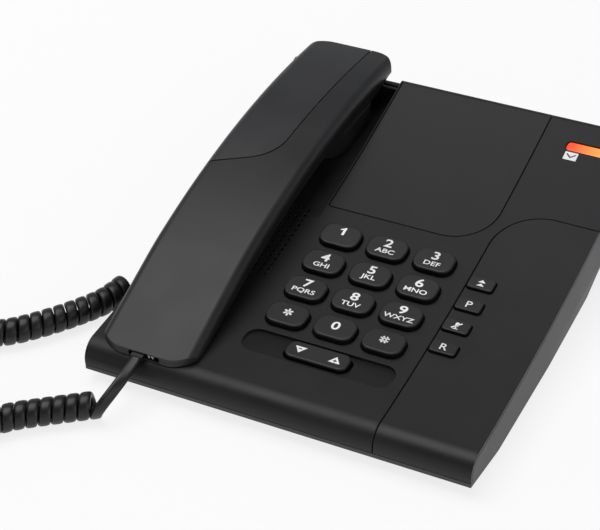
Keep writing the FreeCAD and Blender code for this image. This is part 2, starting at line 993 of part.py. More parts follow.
def handset_section(inset):
    """Trapezoid with rounded shoulders, square to the start of the sweep."""
    draft = math.tan(math.radians(side_draft))
    wall = inset / math.cos(math.radians(side_draft))
    half_top = handset_width / 2 - inset * draft - wall
    half_low = handset_width / 2 - sweep_depth * draft - wall
    radius = max(shoulder_round - inset, least_round)
    reach = radius / math.tan(math.radians(90 - side_draft) / 2)
    side = toward((half_top, -inset), (half_low, -sweep_depth), reach)
    shoulder = arc((half_top - reach, -inset - radius), radius, (half_top - reach, -inset), side)
    right = [shoulder, [side, (half_low, -sweep_depth)]]
    left = backwards([[(-u, v) for u, v in points] for points in right])
    bottom = [[(half_low, -sweep_depth), (-half_low, -sweep_depth)]]
    outline = right + bottom + left
    turn = math.radians(ramp_angle)
    up = (-math.sin(turn), math.cos(turn))
    edges = []
    for points in closed(outline):
        edges.append(edge([V(handset_x + u, sweep_start[0] + v * up[0], sweep_start[1] + v * up[1])
                           for u, v in points]))
    return Part.Wire(edges)


def handset_sweep(inset):
    route = [[sweep_start, ramp_end], arc(neck_centre, neck_radius, ramp_end, neck_end),
             arc(grip_centre, back_radius, neck_end, grip_end)]
    path = Part.Wire([edge([V(handset_x, y, z) for y, z in points]) for points in route])
    return path.makePipeShell([handset_section(inset)], True, False)


def handset_plan(inset, front):
    half = handset_width / 2 - inset
    corner = handset_corner - inset
    front_corner = min(corner, handset_corner - (front - handset_front))
    return plan_prism(rounded(handset_x - half, front, handset_x + half, handset_back - inset,
                              [front_corner, front_corner, corner, corner]))


def above_underside(lift):
    """Everything over the handset's underside, which is raised by a lift."""
    gap = rest_gap + lift
    reach = nose_radius + gap
    start_y = handset_front - 1
    start = (start_y, nose_centre[1] + math.sqrt(reach ** 2 - (start_y - nose_centre[0]) ** 2))
    nose_end = toward(top_centre, nose_centre, top_radius - gap)
    rest = (rest_end, top_z(rest_end, -gap))
    grip = (grip_start, on_grip(grip_start, grip_thick - lift))
    heel = (heel_start, on_grip(heel_start, grip_thick - lift))
    heel_high = (heel_start + heel_length, heel[1] + heel_lift)
    back = (handset_back + 1, heel_high[1] + heel_tail)
    outline = [arc(nose_centre, reach, start, nose_end), arc(top_centre, top_radius - gap, nose_end, rest),
               [rest, grip], arc(grip_centre, back_radius - grip_thick + lift, grip, heel)]
    outline += chained([heel, heel_high, back, (back[0], sky), (start_y, sky), start])
    return side_prism(outline, handset_x - handset_width, handset_x + handset_width)


def inlay_region(shift):
    """Rear left part of the handset's back, left of a seam that curves across it."""
    left = handset_x - handset_width
    back = handset_back + above_skin
    bend_point = (inlay_bend_x, inlay_bend_y)
    run = (inlay_run_x, inlay_run_y)
    slope = (inlay_bend_y - inlay_left_y) / (inlay_bend_x - (handset_x - handset_width / 2))
    start = (left, inlay_left_y - slope * handset_width / 2)
    outline = [[start, bend_point], [bend_point, (inlay_corner_x, inlay_corner_y), run]]
    outline += chained([run, (inlay_back_x, back), (left, back), start])
    return at(plan_prism(outline), -shift, shift, 0)


outer_handset = handset_sweep(0).common([handset_plan(0, handset_front)]).common([above_underside(0)])
upper_half = above_underside(plate_skin)


def inlay_layer():
    """Thin layer of the handset's back, above the seam with its underside."""
    return outer_handset.common([upper_half]).cut(handset_sweep(inlay_skin))


# Handset cord plug: a flat body on a slope, with a boot that reaches the front slot

def plug_frame(shape):
    turn = FreeCAD.Rotation(V(1, 0, 0), plug_slope)
    placed = shape.copy()
    placed.Placement = FreeCAD.Placement(V(plug_x, handset_front, slot_z), turn)
    return placed


def plug_block(width, y0, y1, height, shift=0.0):
    return box(shift - width / 2, y0, -height / 2, shift + width / 2, y1, height / 2)


def make_handset_plug():
    body = plug_block(plug_width, plug_start, plug_start + plug_length, plug_height)
    boot = plug_block(boot_width, -boot_out, plug_start, boot_height)
    return plug_frame(fused([body, boot]))


def plug_room():
    """Slot in the front face, channel for the boot and bay for the plug."""
    slot_height = boot_height + 2 * plug_play
    slot = plug_block(slot_width, -2 * boot_out, slot_depth, slot_height, slot_x - plug_x)
    channel = plug_block(boot_width + 2 * plug_play, 0, plug_start, slot_height)
    bay_end = plug_start + plug_length + plug_play
    bay = plug_block(plug_width + 2 * plug_play, plug_start - plug_play, bay_end,
                     plug_height + 2 * plug_play)
    return plug_frame(fused([slot, channel, bay]))


def make_handset_jack():
    inner = plug_width + 2 * plug_play
    end = plug_start + plug_length + plug_play
    block = plug_block(inner + 2 * jack_wall, plug_start + jack_set, end + jack_end, jack_height)
    return plug_frame(block.cut(plug_block(inner, plug_start, end, 2 * plug_height)))


# Handset shells

def handset_screw_places():
    return [handset_screw_front, handset_screw_back]


def screw_seat(y):
    return on_grip(y, grip_thick) + handset_seat_depth


def make_back_shell():
    core = handset_sweep(handset_skin).common([handset_plan(handset_skin, core_start)]).common([upper_half])
    shell = outer_handset.common([upper_half]).cut(core)
    posts = []
    for y in handset_screw_places():
        foot = V(handset_x, y, screw_seat(y) + handset_pad_height)
        posts.append(cylinder(handset_post_radius, deep, foot).common(outer_handset))
    shell = fused([shell] + posts)
    cuts = [plug_room(), inlay_layer().common(inlay_region(-seam / 2))]
    for y in handset_screw_places():
        cuts.append(at(screw_bore(handset_screw_length + fit), handset_x, y, screw_seat(y)))
    return shell.cut(cuts)


def make_inlay():
    return inlay_layer().common(inlay_region(seam / 2))


def ear_block(inset, rise):
    """Ear boss that reaches down into the cradle, inset and raised for its hollow."""
    half = ear_width / 2 - inset
    plan = plan_prism(rounded(handset_x - half, ear_front + inset, handset_x + half, ear_back - inset,
                              [ear_corner - inset] * 4))
    low = ear_gap + rise
    band = side_prism(polygon([
        (ear_front, cradle_floor(ear_front) + low), (ear_back, cradle_floor(ear_back) + low),
        (ear_back, sky), (ear_front, sky),
    ]), handset_x - half, handset_x + half)
    return plan.common(band)


def sound_holes(y, radius, floor):
    """One hole in a ring of others, straight through a floor."""
    places = [V(handset_x, y, floor - deep / 2)]
    for index in range(ring_holes):
        angle = 2 * math.pi * index / ring_holes
        places.append(places[0] + V(radius * math.cos(angle), radius * math.sin(angle), 0))
    return [cylinder(hole_radius, deep, place) for place in places]


def make_front_shell():
    plate = outer_handset.cut(upper_half)
    boss = ear_block(0, 0).cut(above_underside(0))
    pads = []
    for y in handset_screw_places():
        foot = V(handset_x, y, screw_seat(y) + handset_pad_height - deep)
        pads.append(cylinder(handset_post_radius + handset_pad_wall, deep, foot).common(outer_handset))
    shell = fused([plate, boss] + pads)
    cuts = [ear_block(ear_wall, ear_wall), plug_room()]
    for y in handset_screw_places():
        cuts.append(cylinder(screw_head_radius + fit, deep, V(handset_x, y, screw_seat(y) - deep)))
        cuts.append(at(screw_bore(deep), handset_x, y, screw_seat(y)))
    cuts += sound_holes(receiver_y, ear_hole_ring, cradle_floor(receiver_y) + ear_gap)
    cuts += sound_holes(mic_y, mic_hole_ring, ramp_floor(mic_y))
    return shell.cut(cuts)


def ramp_floor(y):
    """Underside of the handset between its rest on the base and the grip."""
    low = top_z(rest_end, -rest_gap)
    high = on_grip(grip_start, grip_thick)
    return low + (high - low) * (y - rest_end) / (grip_start - rest_end)


def tilted(shape, y, z, angle):
    placed = shape.copy()
    placed.Placement = FreeCAD.Placement(V(handset_x, y, z), FreeCAD.Rotation(V(1, 0, 0), angle))
    return placed


def make_receiver():
    can = cylinder(receiver_radius, receiver_height, V(0, 0, touch))
    back = cylinder(receiver_radius / 2, receiver_step, V(0, 0, receiver_height))
    z = cradle_floor(receiver_y) + ear_gap + ear_wall
    return tilted(fused([can, back]), receiver_y, z, math.degrees(math.atan(cradle_slope)))


def make_microphone():
    low = ramp_floor(mic_y)
    angle = math.degrees(math.atan2(low - ramp_floor(mic_y - 1), 1))
    can = cylinder(mic_radius, mic_height, V(0, 0, plate_skin + fit))
    return tilted(can, mic_y, low, angle)


def make_weight():
    angle = -math.degrees(math.asin((weight_y - grip_centre[0]) / back_radius))
    half_x = weight_width / 2
    half_y = weight_length / 2
    block = box(-half_x, -half_y, touch, half_x, half_y, touch + weight_thick)
    return tilted(block, weight_y, on_grip(weight_y, grip_thick - plate_skin), angle)


def make_handset_screws():
    screw = drive_screw(handset_screw_length)
    return Part.makeCompound([at(screw, handset_x, y, screw_seat(y)) for y in handset_screw_places()])


# Handset cord: two plain leads and a long run of curls between them

def turn_at(before, corner, after):
    """Arc that rounds one corner of a route: its start, middle, end and radius."""
    back = (before - corner).normalize()
    ahead = (after - corner).normalize()
    shorter = min((before - corner).Length, (after - corner).Length)
    half_turn = (math.pi - back.getAngle(ahead)) / 2
    cut = corner_share * shorter
    radius = cut / math.tan(half_turn)
    middle = corner + (back + ahead).normalize() * (radius / math.cos(half_turn) - radius)
    return corner + back * cut, middle, corner + ahead * cut, radius


def route_edges(points, name):
    """Straight runs of a route joined by tangent arcs, with the radii printed."""
    edges = []
    radii = []
    here = points[0]
    for index in range(1, len(points) - 1):
        start, middle, end, radius = turn_at(points[index - 1], points[index], points[index + 1])
        edges.append(Part.LineSegment(here, start).toShape())
        edges.append(Part.Arc(start, middle, end).toShape())
        radii.append(round(radius, 1))
        here = end
    edges.append(Part.LineSegment(here, points[-1]).toShape())
    print(name, "bend radii", radii)
    return edges


def tube(edges, radius, name):
    """Round tube along tangent edges, with its volume compared with section times length."""
    path = Part.Wire(edges)
    ahead = edges[0].tangentAt(edges[0].FirstParameter)
    ring = Part.Wire(Part.makeCircle(radius, edges[0].valueAt(edges[0].FirstParameter), ahead))
    solid = path.makePipeShell([ring], True, False)
    expected = math.pi * radius ** 2 * path.Length
    ratio = solid.Volume / expected
    print(name, "length", round(path.Length, 1), "volume over section times length", round(ratio, 4))
    return solid


coil_lift = coil_radius + wire_radius + floor_gap
coil_route = [V(x, y, coil_lift) for x, y in (
    (-70.3, -18.3), (-85.2, -28.8), (-101.5, -40.6), (-119.2, -65.8), (-150.2, -91.2),
    (-187.5, -76.6), (-193.8, -37.2), (-162.7, -12.0), (-130.6, 3.1), (-115.7, 19.0),
    (-106.0, 32.4), (-100.2, 42.5), (-98.4, 53.5),
)]
coil_edges = route_edges(coil_route, "coil axis")
coil_axis = Part.Wire(coil_edges)
coil_turns = whole_turns + (coil_start_angle - coil_end_angle) / 360.0
coil_pitch = coil_axis.Length / coil_turns


def axis_at(distance):
    """Point and direction of the coil's axis, a distance along it."""
    left = distance
    for piece in coil_edges:
        if left <= piece.Length or piece is coil_edges[-1]:
            break
        left -= piece.Length
    where = piece.getParameterByLength(min(left, piece.Length))
    return piece.valueAt(where), piece.tangentAt(where)


def curl_point(turns):
    """Point and direction of the wire after a number of turns from the handset's end."""
    place, ahead = axis_at(turns * coil_pitch)
    aside = V(-ahead.y, ahead.x, 0)
    angle = math.radians(coil_start_angle - 360.0 * turns)
    out = aside * math.cos(angle) + V(0, 0, 1) * math.sin(angle)
    around = aside * math.sin(angle) - V(0, 0, 1) * math.cos(angle)
    run = around * (2 * math.pi * coil_radius) + ahead * coil_pitch
    return place + out * coil_radius, run.normalize()


def half_arc(start, control, end):
    """Circular arc that leaves start and reaches end along the lines to the control point."""
    chord = (start + end) * 0.5
    reach = (control - start).Length
    half_turn = math.acos((end - start).Length / 2 / reach)
    radius = reach / math.tan(half_turn)
    sag = radius * (1 - math.cos(half_turn))
    return Part.Arc(start, chord + (control - chord).normalize() * sag, end).toShape()


def biarc(p, t, q, u):
    """Two tangent arcs from a point and direction to another point and direction."""
    span = q - p
    both = t + u
    slack = 2 * (1 - t.dot(u))
    along = span.dot(both)
    reach = (-along + math.sqrt(along ** 2 + slack * span.dot(span))) / slack
    first = p + t * reach
    second = q - u * reach
    middle = (first + second) * 0.5
    return [half_arc(p, first, middle), half_arc(middle, second, q)]


spans = max(1, round(coil_turns * spans_per_turn))
curl_marks = [curl_point(coil_turns * i / spans) for i in range(spans + 1)]
stub = 2 * wire_radius
coil_start = curl_marks[0][0] - curl_marks[0][1] * stub
coil_end = curl_marks[-1][0] + curl_marks[-1][1] * stub


def curl_edges():
    edges = [Part.LineSegment(coil_start, curl_marks[0][0]).toShape()]
    for (p, t), (q, u) in zip(curl_marks, curl_marks[1:]):
        edges += biarc(p, t, q, u)
    edges.append(Part.LineSegment(curl_marks[-1][0], coil_end).toShape())
    return edges


def self_gap(edges):
    """Least gap between points of the wire that are half a turn to two turns apart."""
    points = [p for piece in edges for p in piece.discretize(gap_points)[:-1]]
    apart = int(len(points) / coil_turns / 2)
    least = min(points[i].distanceToPoint(points[j])
                for i in range(len(points)) for j in range(i + apart, min(i + 4 * apart, len(points))))
    return least - 2 * wire_radius


def make_coil():
    edges = curl_edges()
    gap = self_gap(edges)
    print("coil turns", round(coil_turns, 2), "pitch", round(coil_pitch, 3))
    print("coil's least gap to itself", round(gap, 2))
    return tube(edges, wire_radius, "coil")


def make_handset_lead():
    turn = math.radians(plug_slope)
    outward = V(0, -math.cos(turn), -math.sin(turn))
    start = V(plug_x, handset_front, slot_z) + outward * (boot_out + touch)
    square = coil_start - curl_marks[0][1] * lead_square
    middle = [start + outward * lead_square, V(-61.8, -12.0, 15.5)]
    edges = route_edges([start] + middle + [square, coil_start], "handset lead")
    return tube(edges, lead_radius, "handset lead")


def make_base_lead():
    end = V(-half_width - plug_out, base_jack_y, base_jack_z)
    square = coil_end + curl_marks[-1][1] * lead_square
    middle = [V(-88.9, 58.5, 11.0), V(-92.6, 65.6, 9.8), V(-94.4, 72.4, 9.0)]
    middle.append(V(-91.4, base_jack_y, base_jack_z))
    edges = route_edges([coil_end, square] + middle + [end], "base lead")
    return tube(edges, lead_radius, "base lead")


# Write every piece

def make_dial_key(index):
    return on_surface(make_key(key_width, key_length, key_corner, key_proud, key_edge), *key_place(index))


def make_small_key(index):
    key = make_key(small_width, small_length, small_corner, small_proud, small_edge)
    return on_surface(key, *small_place(index))


save("base_top_cover", make_cover())
save("index_panel", make_index_panel())
save("right_panel", make_right_panel())
save("bottom_case", make_bottom_case())
save("rubber_feet", make_feet())
save("case_screws", make_case_screws())
save("key_mat", make_key_mat())
save("main_circuit_board", make_board())
save("board_screws", make_board_screws())
save("ringer_speaker", make_speaker())
save("message_lens", make_lens())
save("message_led_board", make_led_board())
save("hook_plunger", make_plunger())
save("hook_switch", make_hook_switch())
save("line_jack", make_line_jack())
save("base_cord_jack", make_base_jack())
save("volume_rocker", make_rocker())
for index, name in enumerate(key_names):
    save(name, make_dial_key(index))
for index, name in enumerate(small_names):
    save(name, make_small_key(index))
save("handset_back_shell", make_back_shell())
save("handset_inlay", make_inlay())
save("handset_front_shell", make_front_shell())
save("receiver_capsule", make_receiver())
save("microphone_capsule", make_microphone())
save("handset_jack", make_handset_jack())
save("handset_weight", make_weight())
save("handset_screws", make_handset_screws())
save("handset_plug", make_handset_plug())
save("base_plug", make_base_plug())
save("cord_lead_handset", make_handset_lead())
save("cord_coil", make_coil())
save("cord_lead_base", make_base_lead())
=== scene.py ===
import math

import bmesh
import bpy
from mathutils import Matrix, Vector


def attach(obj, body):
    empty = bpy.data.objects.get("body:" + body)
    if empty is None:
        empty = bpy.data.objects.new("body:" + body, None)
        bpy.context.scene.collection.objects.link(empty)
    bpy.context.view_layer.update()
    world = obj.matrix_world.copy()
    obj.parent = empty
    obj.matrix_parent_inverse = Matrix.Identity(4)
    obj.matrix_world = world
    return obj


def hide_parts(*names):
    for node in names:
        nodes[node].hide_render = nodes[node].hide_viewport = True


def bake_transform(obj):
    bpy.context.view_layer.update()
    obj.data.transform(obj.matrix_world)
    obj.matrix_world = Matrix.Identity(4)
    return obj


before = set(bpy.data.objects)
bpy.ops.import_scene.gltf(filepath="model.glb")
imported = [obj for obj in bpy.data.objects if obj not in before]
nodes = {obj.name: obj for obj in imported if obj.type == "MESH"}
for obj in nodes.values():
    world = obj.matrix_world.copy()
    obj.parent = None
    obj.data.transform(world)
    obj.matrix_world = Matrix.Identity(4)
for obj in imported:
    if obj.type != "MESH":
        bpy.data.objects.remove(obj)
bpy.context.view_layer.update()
scene = bpy.context.scene
scene.view_settings.view_transform = "Standard"

# Sizes are millimetres in the telephone's own drawing, whose Y starts at the front edge.
# The camera, the floor and the lamps are in metres of the shared frame.
MM = 0.001
DRAWING_Y = 103.0
TOP_ARC = ((0.0, 17.4), (99.5, 24.3), (199.0, 44.4))
KEYPAD_X = 5.8
KEYPAD_Y = 74.0
KEY_COLUMNS = 3
KEY_ROWS = 4
KEY_PITCH_X = 21.8
KEY_PITCH_Y = 17.0
KEY_PROUD = 2.6
SMALL_X = 51.0
SMALL_Y = 94.6
SMALL_PITCH = 13.1
SMALL_PROUD = 1.4
ROCKER_Y = 32.0
ROCKER_PROUD = 1.3

KEY_NODES = ["key_1", "key_2", "key_3", "key_4", "key_5", "key_6",
             "key_7", "key_8", "key_9", "key_star", "key_0", "key_hash"]
SMALL_NODES = ["redial_key", "pause_key", "mute_key", "recall_key"]


def drawn(x, y, z):
    """A point of the drawing in the shared frame, in metres."""
    return Vector((x, y - DRAWING_Y, z)) * MM


def arc_through(a, b, c):
    """Centre and radius of the circle through three points."""
    d = 2 * (a[0] * (b[1] - c[1]) + b[0] * (c[1] - a[1]) + c[0] * (a[1] - b[1]))
    sa, sb, sc = (p[0] ** 2 + p[1] ** 2 for p in (a, b, c))
    y = (sa * (b[1] - c[1]) + sb * (c[1] - a[1]) + sc * (a[1] - b[1])) / d
    z = (sa * (c[0] - b[0]) + sb * (a[0] - c[0]) + sc * (b[0] - a[0])) / d
    return y, z, math.hypot(a[0] - y, a[1] - z)


ARC_Y, ARC_Z, ARC_RADIUS = arc_through(*TOP_ARC)


def on_top(x, y, proud):
    """Frame that lies on the base's curved top, raised along its normal."""
    tilt = math.asin((y - ARC_Y) / ARC_RADIUS)
    z = ARC_Z - math.sqrt(ARC_RADIUS ** 2 - (y - ARC_Y) ** 2)
    lie = Matrix.Translation(drawn(x, y, z)) @ Matrix.Rotation(tilt, 4, "X")
    return lie @ Matrix.Translation((0, 0, proud * MM))


# Camera at the photograph's place

CAMERA_PLACE = (0.2854, -0.59168, 0.52694)
CAMERA_UP = Vector((-0.245646, 0.566999, 0.786238))
CAMERA_BACK = Vector((0.375694, -0.692008, 0.616424))
CAMERA_SENSOR = 36.0
CAMERA_LENS = 115.92
CAMERA_SHIFT = (-0.0104, 0.0046)


def photo_camera():
    lens = bpy.data.cameras.new("photo_camera")
    lens.sensor_width = CAMERA_SENSOR
    lens.lens = CAMERA_LENS
    lens.shift_x, lens.shift_y = CAMERA_SHIFT
    camera = bpy.data.objects.new("photo_camera", lens)
    right = CAMERA_UP.cross(CAMERA_BACK)
    camera.matrix_world = Matrix((right, CAMERA_UP, CAMERA_BACK)).transposed().to_4x4()
    camera.location = CAMERA_PLACE
    scene.collection.objects.link(camera)
    scene.camera = camera


# Steps that the materials share

TONE_BAND = (0.35, 0.65)
SHEEN_BAND = (0.3, 0.7)
GRAIN_DETAIL = 2.0


def new_finish(name):
    finish = bpy.data.materials.new(name)
    finish.use_nodes = True
    return finish, finish.node_tree, finish.node_tree.nodes["Principled BSDF"]


def noise(tree, place, size, detail):
    """Noise over the piece's own coordinates, with blotches of a size in millimetres."""
    cloud = tree.nodes.new("ShaderNodeTexNoise")
    cloud.inputs["Scale"].default_value = 1.0 / (size * MM)
    cloud.inputs["Detail"].default_value = detail
    tree.links.new(place.outputs["Object"], cloud.inputs["Vector"])
    return cloud.outputs["Fac"]


def ramp(tree, source, low, high, band=TONE_BAND):
    """Colours that go from low to high across a band of the source."""
    tint = tree.nodes.new("ShaderNodeValToRGB")
    for stop, position, colour in zip(tint.color_ramp.elements, band, (low, high)):
        stop.position = position
        stop.color = (*colour, 1)
    tree.links.new(source, tint.inputs["Fac"])
    return tint


def stretched(tree, source, start, end, low=0.0, high=1.0):
    """Values that go from low to high while the source goes from start to end."""
    reach = tree.nodes.new("ShaderNodeMapRange")
    reach.inputs["From Min"].default_value = start
    reach.inputs["From Max"].default_value = end
    reach.inputs["To Min"].default_value = low
    reach.inputs["To Max"].default_value = high
    tree.links.new(source, reach.inputs["Value"])
    return reach.outputs["Result"]


def uneven_sheen(tree, source, shader, roughness, drift):
    sheen = stretched(tree, source, *SHEEN_BAND, roughness - drift, roughness + drift)
    tree.links.new(sheen, shader.inputs["Roughness"])


def grain_bump(tree, place, shader, size, depth, strength):
    """Fine grain on a surface."""
    bump = tree.nodes.new("ShaderNodeBump")
    bump.inputs["Strength"].default_value = strength
    bump.inputs["Distance"].default_value = depth * MM
    tree.links.new(noise(tree, place, size, GRAIN_DETAIL), bump.inputs["Height"])
    tree.links.new(bump.outputs["Normal"], shader.inputs["Normal"])
    return bump


# Moulded plastic and rubber

CLOUD_SIZE = 18.0
CLOUD_DETAIL = 4.0
CLOUD_TONES = (0.9, 1.1)
MOULDED_DRIFT = 0.03
MOULDED_STRENGTH = 0.5
EDGE_SAMPLES = 4
PAINTED_SHADE_FACING = (0.6, 0.9)


def painted_shade_on_sides(tree, tone, painted_side_shade):
    """Painted shade: the tone where a face looks up, and a darker painted shade where it doesn't."""
    facing = tree.nodes.new("ShaderNodeNewGeometry")
    split = tree.nodes.new("ShaderNodeSeparateXYZ")
    tree.links.new(facing.outputs["True Normal"], split.inputs["Vector"])
    shade = tree.nodes.new("ShaderNodeMix")
    shade.data_type = "RGBA"
    shade.inputs["A"].default_value = (*painted_side_shade, 1)
    tree.links.new(stretched(tree, split.outputs["Z"], *PAINTED_SHADE_FACING), shade.inputs["Factor"])
    tree.links.new(tone, shade.inputs["B"])
    return shade.outputs["Result"]


def moulded(name, colour, roughness, grain, depth, edge=0.3, gloss=0.35, painted_side_shade=None):
    """Moulded piece: cloudy tone, uneven sheen, spark-eroded grain, softened edges, painted shade on
    sides.
    """
    finish, tree, shader = new_finish(name)
    place = tree.nodes.new("ShaderNodeTexCoord")
    cloud = noise(tree, place, CLOUD_SIZE, CLOUD_DETAIL)
    low, high = ([share * part for part in colour] for share in CLOUD_TONES)
    tone = ramp(tree, cloud, low, high).outputs["Color"]
    if painted_side_shade is not None:
        tone = painted_shade_on_sides(tree, tone, painted_side_shade)
    tree.links.new(tone, shader.inputs["Base Color"])
    uneven_sheen(tree, cloud, shader, roughness, MOULDED_DRIFT)
    shader.inputs["Specular IOR Level"].default_value = gloss
    soft_edge = tree.nodes.new("ShaderNodeBevel")
    soft_edge.samples = EDGE_SAMPLES
    soft_edge.inputs["Radius"].default_value = edge * MM
    bump = grain_bump(tree, place, shader, grain, depth, MOULDED_STRENGTH)
    tree.links.new(soft_edge.outputs["Normal"], bump.inputs["Normal"])
    return finish


# Brushed metal

SCRATCH_SIZE = 0.6
SCRATCH_DETAIL = 6.0
SCRATCH_TONE = 0.85
BRUSHED_DRIFT = 0.08


def brushed(name, colour, roughness):
    finish, tree, shader = new_finish(name)
    place = tree.nodes.new("ShaderNodeTexCoord")
    scratch = noise(tree, place, SCRATCH_SIZE, SCRATCH_DETAIL)
    tone = ramp(tree, scratch, [SCRATCH_TONE * part for part in colour], colour)
    tree.links.new(tone.outputs["Color"], shader.inputs["Base Color"])
    uneven_sheen(tree, scratch, shader, roughness, BRUSHED_DRIFT)
    shader.inputs["Metallic"].default_value = 1.0
    return finish


# Message lamp's lens

LENS_ENDS = (55.0, 80.0)
LENS_RED = (0.85, 0.06, 0.012)
LENS_AMBER = (1.0, 0.36, 0.06)
LENS_BAND = (0.1, 0.75)
LENS_GLOW = 0.55
LENS_ROUGHNESS = 0.25
LENS_GRAIN = 0.8
LENS_DEPTH = 0.03
LENS_STRENGTH = 0.2


def lit_lens(name):
    """Tinted bar lit from inside, red at its left end and yellow-orange at its right."""
    finish, tree, shader = new_finish(name)
    place = tree.nodes.new("ShaderNodeTexCoord")
    split = tree.nodes.new("ShaderNodeSeparateXYZ")
    tree.links.new(place.outputs["Object"], split.inputs["Vector"])
    along = stretched(tree, split.outputs["X"], *(end * MM for end in LENS_ENDS))
    tint = ramp(tree, along, LENS_RED, LENS_AMBER, LENS_BAND)
    tree.links.new(tint.outputs["Color"], shader.inputs["Base Color"])
    tree.links.new(tint.outputs["Color"], shader.inputs["Emission Color"])
    shader.inputs["Emission Strength"].default_value = LENS_GLOW
    shader.inputs["Roughness"].default_value = LENS_ROUGHNESS
    grain_bump(tree, place, shader, LENS_GRAIN, LENS_DEPTH, LENS_STRENGTH)
    return finish


# Finishes of the pieces

cover_plastic = moulded("cover_plastic", (0.0076, 0.0077, 0.0084),
                        roughness=0.44, grain=0.35, depth=0.02, edge=0.7, gloss=0.3)
panel_plastic = moulded("panel_plastic", (0.0078, 0.008, 0.0087),
                        roughness=0.43, grain=0.35, depth=0.018, edge=0.5, gloss=0.32)
# The bottom case is painted much lighter than the cover: painted light on its sides and lip, which the
# floor and the right lamp light.
case_plastic_painted_lighter = moulded("case_plastic_painted_lighter", (0.046, 0.047, 0.05), roughness=0.5, grain=0.4, depth=0.025)
handset_plastic = moulded("handset_plastic", (0.0105, 0.0107, 0.0118),
                          roughness=0.42, grain=0.35, depth=0.016, edge=0.5, gloss=0.37)
inlay_plastic = moulded("inlay_plastic", (0.0128, 0.013, 0.0145),
                        roughness=0.42, grain=0.35, depth=0.018, edge=0.25, gloss=0.5)
# The keys' sides get painted shade, darker than their tops because of the way their faces look.
key_plastic = moulded("key_plastic", (0.0105, 0.0105, 0.0112), roughness=0.4, grain=0.3, depth=0.012,
                      edge=0.4, gloss=0.4, painted_side_shade=(0.003, 0.003, 0.0033))
fitting_plastic = moulded("fitting_plastic", (0.008, 0.008, 0.0085), roughness=0.4, grain=0.5, depth=0.015)
plug_plastic = moulded("plug_plastic", (0.005, 0.005, 0.0053),
                       roughness=0.45, grain=0.8, depth=0.01, gloss=0.25)
# Light grey for the bars in the plug's slot, which stand for glints on its latch: painted highlight.
painted_glint_plastic = moulded("painted_glint_plastic", (0.5, 0.51, 0.52),
                        roughness=0.2, grain=0.8, depth=0.01, edge=0.05, gloss=0.5)
cord_jacket = moulded("cord_jacket", (0.0055, 0.0055, 0.006),
                      roughness=0.38, grain=0.6, depth=0.02, edge=0.2, gloss=0.4)
foot_rubber = moulded("foot_rubber", (0.02, 0.02, 0.02), roughness=0.75, grain=0.5, depth=0.03)
board_resin = moulded("board_resin", (0.012, 0.06, 0.022), roughness=0.4, grain=0.8, depth=0.01)
legend_ink = moulded("legend_ink", (0.88, 0.885, 0.89), roughness=0.5, grain=0.3, depth=0.004, edge=0.02)
screw_steel = brushed("screw_steel", (0.62, 0.62, 0.64), roughness=0.35)
contact_gold = brushed("contact_gold", (0.83, 0.6, 0.25), roughness=0.28)
lamp_lens = lit_lens("lamp_lens")


def dress(finish, *names):
    for name in names:
        node = nodes[name]
        if not node.material_slots:
            node.data.materials.append(finish)
        for slot in node.material_slots:
            slot.material = finish


dress(cover_plastic, "base_top_cover")
dress(panel_plastic, "index_panel", "right_panel")
dress(case_plastic_painted_lighter, "bottom_case")
dress(handset_plastic, "handset_back_shell", "handset_front_shell")
dress(inlay_plastic, "handset_inlay")
dress(key_plastic, "volume_rocker", *KEY_NODES, *SMALL_NODES)
dress(lamp_lens, "message_lens")
dress(foot_rubber, "rubber_feet", "key_mat")
dress(board_resin, "main_circuit_board", "message_led_board")
dress(screw_steel, "case_screws", "board_screws", "handset_screws", "handset_weight")
dress(fitting_plastic, "ringer_speaker", "hook_switch", "hook_plunger", "line_jack", "base_cord_jack",
      "receiver_capsule", "microphone_capsule", "handset_jack")
dress(plug_plastic, "handset_plug", "base_plug")
dress(cord_jacket, "cord_lead_handset", "cord_coil", "cord_lead_base")


# Making pieces

def shown(name, mesh, finish):
    """Piece in the scene with one finish, in its one material slot."""
    piece = bpy.data.objects.new(name, mesh)
    scene.collection.objects.link(piece)
    mesh.materials.clear()
    mesh.materials.append(finish)
    return piece


def meshed(name, work):
    mesh = bpy.data.meshes.new(name)
    work.to_mesh(mesh)
    work.free()
    return mesh


def joined(name, meshes):
    work = bmesh.new()
    for mesh in meshes:
        work.from_mesh(mesh)
        bpy.data.meshes.remove(mesh)
    return meshed(name, work)


def from_curve(curve):
    """Plain mesh of a curve or text, which is then removed."""
    holder = bpy.data.objects.new("curve_holder", curve)
    scene.collection.objects.link(holder)
    mesh = bpy.data.meshes.new_from_object(holder)
    bpy.data.objects.remove(holder)
    bpy.data.curves.remove(curve)
    return mesh


# Handset cord: a lead, a long run of curls and a lead, as one flat ribbon

CURL_RADIUS = 4.4
CURL_TURNS = 60.278
CURL_START = math.radians(-25.0)
CURL_STEPS = 28
CURL_FILL = 0.92
COIL_LIFT = 6.2
COIL_FINENESS = 48
LEAD_SQUARE = 6.0
CURL_SECTION = (4.9, 2.9)
LEAD_SECTION = (4.8, 2.5)
RIBBON_SIDES = 18
RIBBON_SQUARENESS = 2.0 / 3.2
COIL_ROUTE = [
    (-70.3, -18.3), (-85.2, -28.8), (-101.5, -40.6), (-119.2, -65.8), (-150.2, -91.2),
    (-187.5, -76.6), (-193.8, -37.2), (-162.7, -12.0), (-130.6, 3.1), (-115.7, 19.0),
    (-106.0, 32.4), (-100.2, 42.5), (-98.4, 53.5),
]
HANDSET_LEAD = [(-61.5, 1.99, 18.13), (-61.5, -2.88, 17.0), (-61.8, -12.0, 15.5)]
HANDSET_LEAD_FINENESS = 14
BASE_LEAD = [
    (-88.9, 58.5, 11.0), (-92.6, 65.6, 9.8), (-94.4, 72.4, 9.0), (-91.4, 78.0, 8.4), (-86.6, 78.0, 8.4),
]
BASE_LEAD_FINENESS = 12


